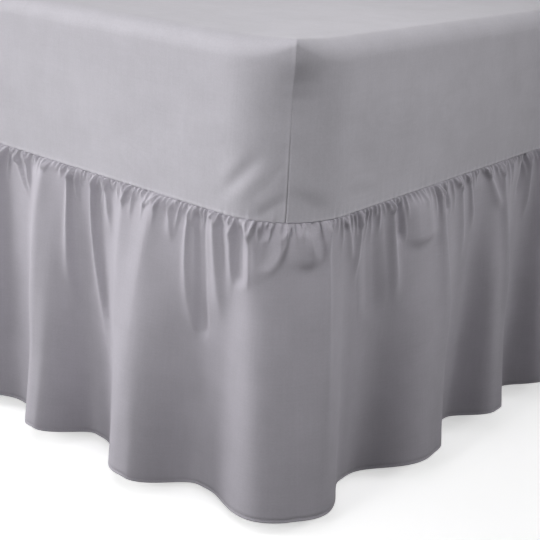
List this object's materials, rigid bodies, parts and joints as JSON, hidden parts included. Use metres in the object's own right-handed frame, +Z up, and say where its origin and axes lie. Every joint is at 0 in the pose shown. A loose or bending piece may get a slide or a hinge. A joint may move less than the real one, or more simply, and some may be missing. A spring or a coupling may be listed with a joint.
{
  "type": "bed skirt on a mattress and bed base",
  "caption": "Fitted bed skirt: a smooth cover over the mattress with a long gathered frill falling in soft folds around the bed base to just above the floor.",
  "frame": {"origin": "on the floor under the middle of the bed", "axes": "+Z up, X across the bed, Y along the bed with its foot end at -Y"},
  "size_m": [1.1282, 2.1282, 0.665],
  "materials": {
    "skirt_cloth": "matte",
    "mattress_cloth": "matte",
    "base_cloth": "matte",
    "foot_plastic": "matte"
  },
  "bodies": {
    "root": {"sheet_cover": "skirt_cloth", "frill": "skirt_cloth", "mattress": "mattress_cloth", "bed_base": "base_cloth", "foot_1": "foot_plastic", "foot_2": "foot_plastic", "foot_3": "foot_plastic", "foot_4": "foot_plastic"}
  },
  "joints": []
}
